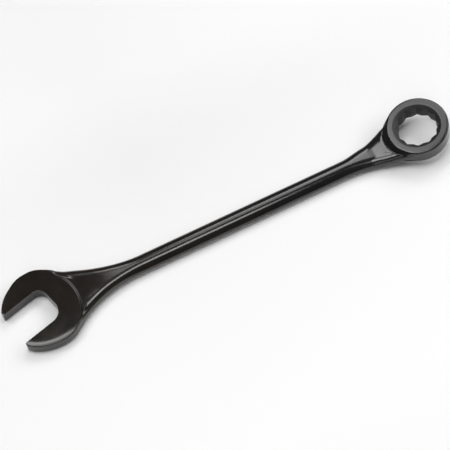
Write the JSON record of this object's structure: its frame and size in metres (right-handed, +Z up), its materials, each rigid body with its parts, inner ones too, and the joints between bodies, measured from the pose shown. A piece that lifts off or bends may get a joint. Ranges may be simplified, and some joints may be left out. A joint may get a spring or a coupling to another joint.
{
  "type": "combination wrench",
  "caption": "Long combination wrench in black steel, with a turned open end, an oval shank and a raised 12-point box end.",
  "frame": {"origin": "under the middle of the wrench's own box, on the plane of its lowest face, the flat underside of the open neck", "axes": "+X along the shank towards the box end, +Z up out of the open head's flat face, +Y to the left of the shank"},
  "size_m": [0.657, 0.1136, 0.0441],
  "materials": {
    "black_oxide_steel": "satin black oxide over forged and tumbled steel"
  },
  "bodies": {
    "root": {"open_end_head": "black_oxide_steel", "shank": "black_oxide_steel", "box_end_head": "black_oxide_steel"}
  },
  "joints": []
}
